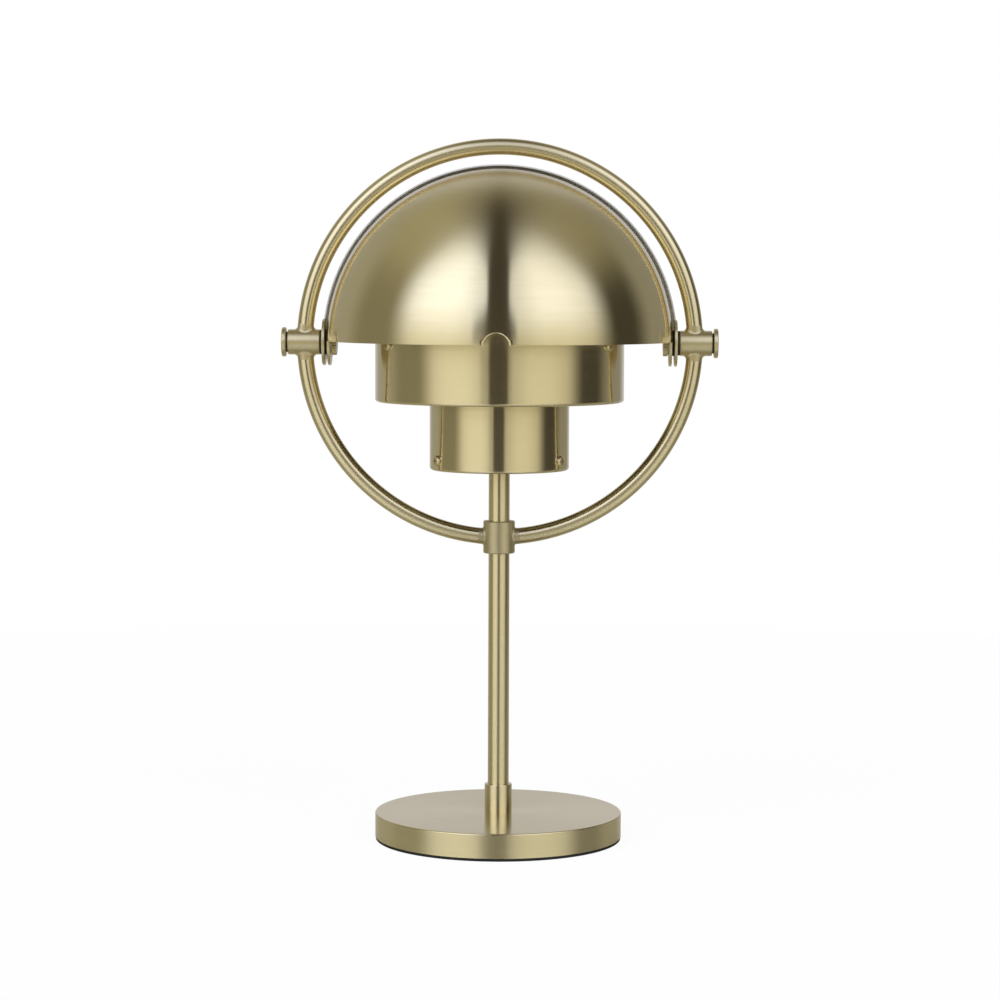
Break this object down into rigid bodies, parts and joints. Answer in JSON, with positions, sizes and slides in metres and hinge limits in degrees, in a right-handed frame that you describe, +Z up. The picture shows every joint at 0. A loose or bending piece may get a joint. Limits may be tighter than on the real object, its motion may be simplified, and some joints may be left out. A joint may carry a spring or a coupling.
{
  "type": "dome shade desk lamp",
  "caption": "Table lamp: two quarter-sphere brass shades turn on a ring held by a stem, round two fixed drums that hide the bulb, on a round weighted base.",
  "frame": {"origin": "centre of the flat underside of the base pad, on the stem's axis", "axes": "+Z up the stem, -Y is the front, X along the axis that the shades turn on"},
  "size_m": [0.3098, 0.2484, 0.5],
  "materials": {
    "brushed_brass": "satin brushed",
    "turned_brass": "fine turned",
    "zinc_steel": "bright zinc",
    "black_washer": "matt fibre",
    "pad_rubber": "matt",
    "cast_weight": "rough cast",
    "black_plastic": "matt moulded",
    "white_plastic": "matt moulded",
    "wire_sleeve": "smooth",
    "cap_metal": "plated",
    "opal_glass": "opal"
  },
  "bodies": {
    "stand": {"base_collar": "brushed_brass", "base_cover": "brushed_brass", "base_pad": "pad_rubber", "base_weight": "cast_weight", "boss_washers": "black_washer", "bulb_cap": "cap_metal", "bulb_globe": "opal_glass", "carrier_nut": "zinc_steel", "collar_grub_screw": "zinc_steel", "cord_inlet_bush": "black_plastic", "drum_carrier": "turned_brass", "drum_spacers": "turned_brass", "ear_washers": "black_washer", "foot_bush": "turned_brass", "foot_nipple": "zinc_steel", "foot_nut": "zinc_steel", "foot_washer": "zinc_steel", "internal_wires": "wire_sleeve", "knob_washers": "black_washer", "lampholder_cap": "white_plastic", "lampholder_contact": "turned_brass", "lampholder_core": "white_plastic", "lampholder_shell": "white_plastic", "lampholder_sleeve": "turned_brass", "narrow_drum": "brushed_brass", "narrow_drum_screws": "turned_brass", "pivot_bolt_left": "zinc_steel", "pivot_bolt_right": "zinc_steel", "pivot_boss_left": "brushed_brass", "pivot_boss_right": "brushed_brass", "pivot_knob_left": "turned_brass", "pivot_knob_right": "turned_brass", "ring_collar": "brushed_brass", "ring_lower_left_tube": "brushed_brass", "ring_lower_right_tube": "brushed_brass", "ring_upper_tube": "brushed_brass", "spacer_inner_screws": "turned_brass", "spring_washers": "zinc_steel", "stem_tube": "brushed_brass", "terminal_block": "black_plastic", "terminal_screws": "zinc_steel", "top_bush": "turned_brass", "top_nipple": "zinc_steel", "wide_drum": "brushed_brass", "wide_drum_screws": "turned_brass"},
    "front_shade_turning": {"front_shade": "brushed_brass", "front_shade_ear_left": "turned_brass", "front_shade_ear_right": "turned_brass"},
    "rear_shade_turning": {"rear_shade": "brushed_brass", "rear_shade_ear_left": "turned_brass", "rear_shade_ear_right": "turned_brass"},
    "left_nut": {"knurled_nut_left": "turned_brass"},
    "right_nut": {"knurled_nut_right": "turned_brass"}
  },
  "joints": [
    {"name": "front_shade_turn", "type": "hinge", "parent": "stand", "child": "front_shade_turning", "pos_m": [0, 0, 0.3558], "axis": [1, 0, 0], "range_deg": [-175, 90]},
    {"name": "rear_shade_turn", "type": "hinge", "parent": "stand", "child": "rear_shade_turning", "pos_m": [0, 0, 0.3558], "axis": [1, 0, 0], "range_deg": [-90, 175]},
    {"name": "left_nut_turn", "type": "hinge", "parent": "stand", "child": "left_nut", "pos_m": [-0.1175, 0, 0.3558], "axis": [1, 0, 0], "range_deg": [-90, 90]},
    {"name": "right_nut_turn", "type": "hinge", "parent": "stand", "child": "right_nut", "pos_m": [0.1175, 0, 0.3558], "axis": [1, 0, 0], "range_deg": [-90, 90]}
  ]
}
